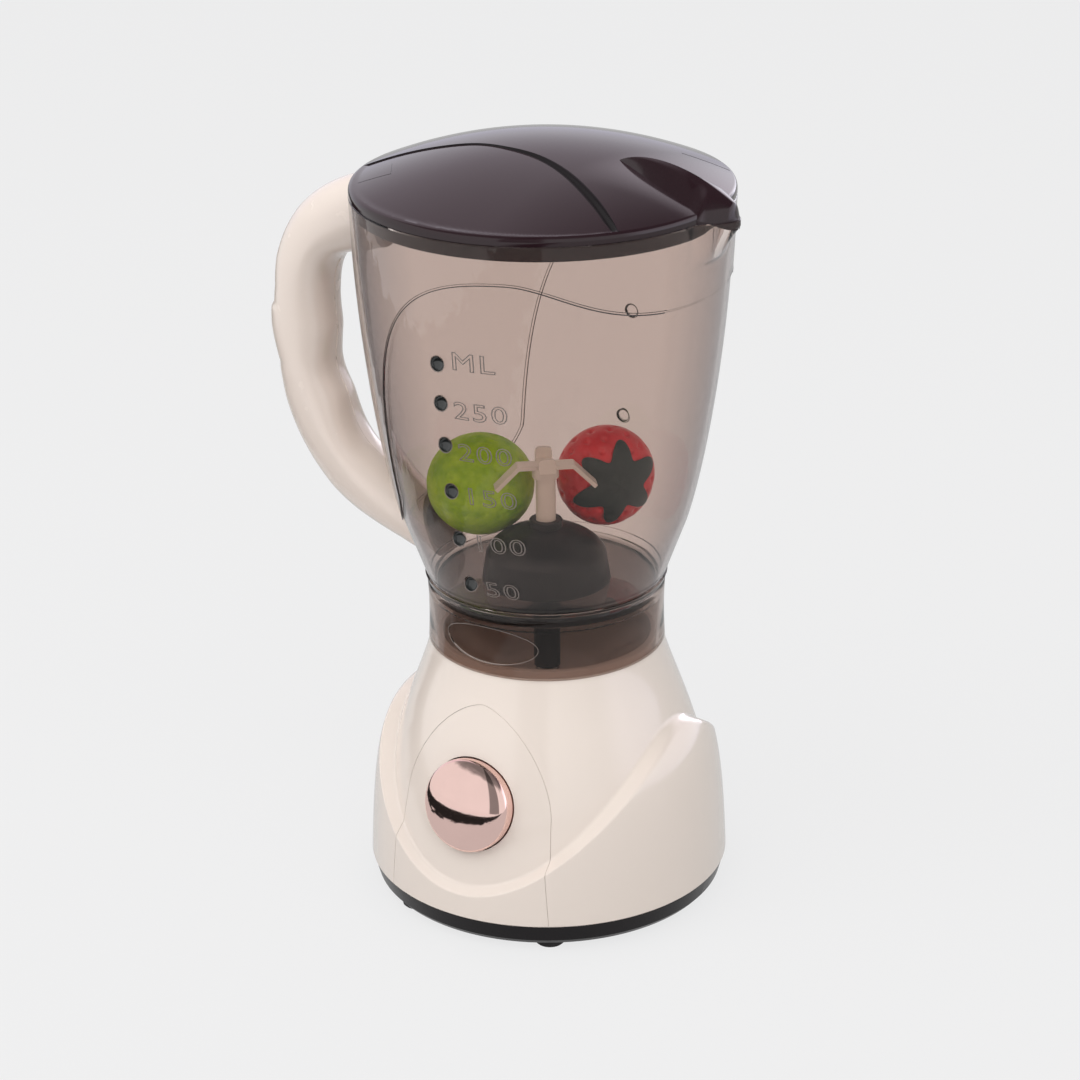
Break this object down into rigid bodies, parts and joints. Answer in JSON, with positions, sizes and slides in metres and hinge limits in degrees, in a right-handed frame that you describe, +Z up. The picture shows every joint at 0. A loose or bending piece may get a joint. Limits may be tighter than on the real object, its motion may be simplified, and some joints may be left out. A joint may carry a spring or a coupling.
{
  "type": "toy blender",
  "caption": "Toy blender: a smoky jug with a moulded handle, spout and domed lid lifts off a flared battery base with a push button and a motor that turns the blade.",
  "frame": {"origin": "on the blade's axis, at the centre of the base plate's flat underside; the rubber feet reach 2.4 mm below it", "axes": "+Z up along the blade's axis, +X towards the spout with the handle at -X, and the front with the button at -Y"},
  "size_m": [0.1568, 0.1108, 0.2328],
  "materials": {
    "cream_shell": "moulded, glossy",
    "button_metal": "rose-gold plated plastic, mirror-like",
    "dark_plastic": "moulded, glossy",
    "lid_smoke": "deep smoky plastic, glossy",
    "jug_smoke": "clear smoky plastic, polished",
    "hub_plastic": "moulded, satin",
    "white_plastic": "moulded, matt",
    "switch_body": "moulded, matt",
    "rubber": "matt",
    "steel": "zinc plated",
    "battery_sleeve": "plain printed sleeve, steel ends",
    "wire_red": "insulation",
    "wire_blue": "insulation",
    "wire_black": "insulation",
    "lime_skin": "soft plastic, pebbled",
    "berry_skin": "soft plastic, pitted",
    "berry_leaf": "painted"
  },
  "bodies": {
    "base": {"base_housing": "cream_shell", "front_panel": "cream_shell", "button_spring": "steel", "power_switch": "switch_body", "switch_bracket": "dark_plastic", "switch_screws": "steel", "base_plate": "dark_plastic", "base_screws": "steel", "rubber_feet": "rubber", "battery_cells": "battery_sleeve", "contact_springs": "steel", "contact_plates": "steel", "motor_can": "steel", "motor_endcap": "white_plastic", "motor_bracket": "cream_shell", "motor_screws": "steel", "wire_switch_feed": "wire_red", "wire_motor_feed": "wire_blue", "wire_return": "wire_black"},
    "button": {"power_button": "button_metal", "switch_plunger": "white_plastic"},
    "motor_rotor": {"motor_shaft": "steel", "drive_dog": "white_plastic"},
    "battery_door": {"battery_door": "dark_plastic", "battery_door_screw": "steel"},
    "jug": {"jug_body": "jug_smoke", "jug_floor": "jug_smoke", "hub_cover": "hub_plastic", "handle_front": "cream_shell", "handle_rear": "cream_shell"},
    "blade_rotor": {"blade": "cream_shell", "jug_coupling": "hub_plastic"},
    "lid": {"lid": "lid_smoke"},
    "lime": {"lime": "lime_skin"},
    "strawberry": {"strawberry": "berry_skin", "strawberry_crown": "berry_leaf"}
  },
  "joints": [
    {"name": "button_press", "type": "slide", "parent": "base", "child": "button", "axis": [0, 0.9691, -0.2466], "range_m": [0, 0.0025], "stiffness_N_per_m": 300, "springref_m": -0.001, "deforming": ["button_spring"]},
    {"name": "motor_spin", "type": "hinge", "parent": "base", "child": "motor_rotor", "pos_m": [0, 0, 0.05], "axis": [0, 0, 1], "continuous": true},
    {"name": "battery_door_drop", "type": "slide", "parent": "base", "child": "battery_door", "axis": [0, 0, -1], "range_m": [0, 0.02]},
    {"name": "jug_lift", "type": "slide", "parent": "base", "child": "jug", "axis": [0, 0, 1], "range_m": [0, 0.06]},
    {"name": "blade_spin", "type": "hinge", "parent": "jug", "child": "blade_rotor", "pos_m": [0, 0, 0.1], "axis": [0, 0, 1], "continuous": true},
    {"name": "lid_lift", "type": "slide", "parent": "jug", "child": "lid", "axis": [0, 0, 1], "range_m": [0, 0.06]},
    {"name": "lime_lift", "type": "slide", "parent": "blade_rotor", "child": "lime", "axis": [0, 0, 1], "range_m": [0, 0.065]},
    {"name": "strawberry_lift", "type": "slide", "parent": "blade_rotor", "child": "strawberry", "axis": [0, 0, 1], "range_m": [0, 0.065]}
  ],
  "couplings": [
    {"joint": "motor_spin", "follows": "blade_spin", "ratio": 1}
  ]
}
